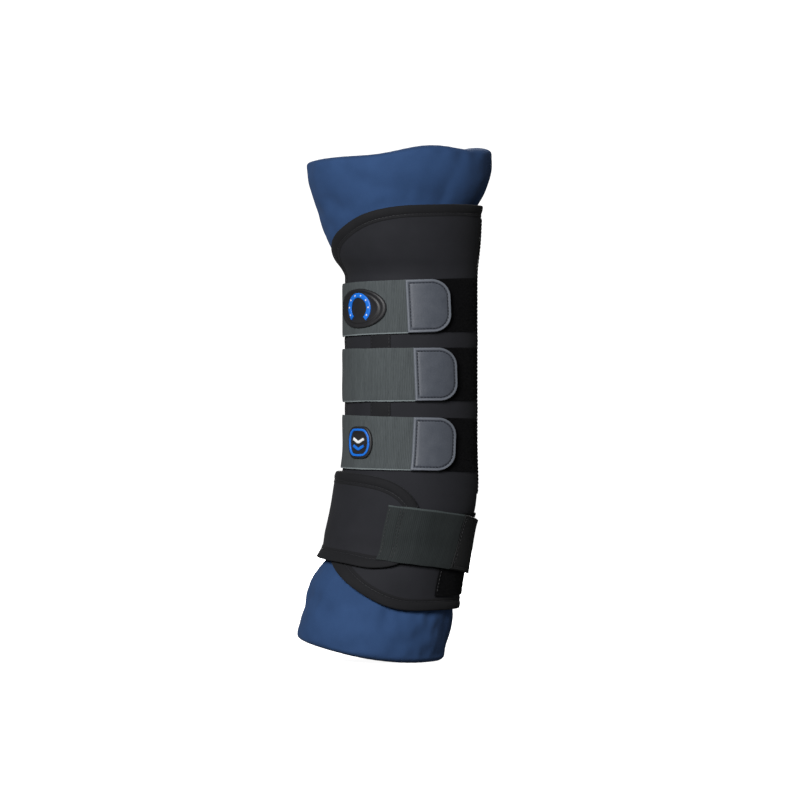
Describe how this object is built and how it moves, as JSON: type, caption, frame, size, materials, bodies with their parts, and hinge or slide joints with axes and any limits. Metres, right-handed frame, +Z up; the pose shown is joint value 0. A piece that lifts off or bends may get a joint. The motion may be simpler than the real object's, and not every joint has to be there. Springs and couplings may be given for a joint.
{
  "type": "horse stable boot",
  "caption": "Padded leg boot for a horse: quilted liner in a bound neoprene shell, closed round the leg by elastic straps and a fetlock wrap.",
  "frame": {"origin": "on the leg's axis at the cannon, level with the lowest point of the boot", "axes": "+Z up the leg, -X the front of the leg, -Y the outer side of the boot"},
  "size_m": [0.1738, 0.1412, 0.4655],
  "materials": {
    "navy": "brushed navy microfibre over wadding",
    "quilt": "soft quilted lining cloth",
    "wadding": "polyester wadding",
    "neoprene": "cloth-faced neoprene, matt black",
    "binding": "black stretch binding",
    "loop": "black loop pile",
    "hook": "black moulded hooks",
    "elastic": "dark grey ribbed elastic",
    "tab": "blue-grey coated tab, fine grain",
    "badge_rubber": "moulded black rubber",
    "badge_blue": "moulded blue rubber"
  },
  "bodies": {
    "boot": {"liner_wadding": "wadding", "liner_cover": "navy", "liner_top_hem": "navy", "liner_bottom_hem": "navy", "liner_outer_front_edge": "navy", "liner_inner_front_edge": "navy", "liner_lining": "quilt", "liner_outer_hook_pad": "hook", "liner_inner_hook_pad": "hook", "shell_outer_panel": "neoprene", "shell_inner_panel": "neoprene", "outer_top_binding": "binding", "outer_bottom_binding": "binding", "outer_front_binding": "binding", "inner_top_binding": "binding", "inner_bottom_binding": "binding", "inner_front_binding": "binding", "rear_seam_tape": "binding", "outer_stiffening_tape": "binding", "top_strap_root": "elastic", "middle_strap_root": "elastic", "lower_strap_root": "elastic", "top_loop_band": "loop", "middle_loop_band": "loop", "lower_loop_band": "loop", "fetlock_loop_patch": "loop", "fetlock_wing_root": "neoprene"},
    "top_strap": {"top_elastic": "elastic", "oval_badge": "badge_rubber", "oval_badge_motif": "badge_blue"},
    "middle_strap": {"middle_elastic": "elastic"},
    "lower_strap": {"lower_elastic": "elastic", "crest_badge": "badge_rubber", "crest_badge_rim": "badge_blue"},
    "top_tab_end": {"top_tab": "tab", "top_hook_pad": "hook"},
    "middle_tab_end": {"middle_tab": "tab", "middle_hook_pad": "hook"},
    "lower_tab_end": {"lower_tab": "tab", "lower_hook_pad": "hook"},
    "fetlock_wrap": {"fetlock_wing": "neoprene", "fetlock_wing_top_binding": "binding", "fetlock_wing_bottom_binding": "binding", "fetlock_elastic": "elastic"},
    "fetlock_end": {"fetlock_end_tab": "loop", "fetlock_hook_pad": "hook"}
  },
  "joints": [
    {"name": "top_strap_swing", "type": "hinge", "parent": "boot", "child": "top_strap", "pos_m": [-0.06248, -0.001, 0.3205], "axis": [0, 0, -1], "range_deg": [0, 110]},
    {"name": "top_tab_peel", "type": "hinge", "parent": "top_strap", "child": "top_tab_end", "pos_m": [-0.00224, -0.05747, 0.3205], "axis": [0, 0, -1], "range_deg": [0, 65]},
    {"name": "middle_strap_swing", "type": "hinge", "parent": "boot", "child": "middle_strap", "pos_m": [-0.06248, -0.001, 0.25928], "axis": [0, 0, -1], "range_deg": [0, 110]},
    {"name": "middle_tab_peel", "type": "hinge", "parent": "middle_strap", "child": "middle_tab_end", "pos_m": [0.00474, -0.05734, 0.25928], "axis": [0, 0, -1], "range_deg": [0, 65]},
    {"name": "lower_strap_swing", "type": "hinge", "parent": "boot", "child": "lower_strap", "pos_m": [-0.06428, -0.001, 0.19714], "axis": [0, 0, -1], "range_deg": [0, 110]},
    {"name": "lower_tab_peel", "type": "hinge", "parent": "lower_strap", "child": "lower_tab_end", "pos_m": [0.00305, -0.05745, 0.19714], "axis": [0, 0, -1], "range_deg": [0, 65]},
    {"name": "fetlock_wrap_swing", "type": "hinge", "parent": "boot", "child": "fetlock_wrap", "pos_m": [-0.07686, -0.001, 0.13328], "axis": [-0.2297, 0, -0.9733], "range_deg": [0, 100]},
    {"name": "fetlock_end_peel", "type": "hinge", "parent": "fetlock_wrap", "child": "fetlock_end", "pos_m": [0.04394, -0.03567, 0.10816], "axis": [-0.208, -0.049, -0.9769], "range_deg": [0, 75]}
  ]
}
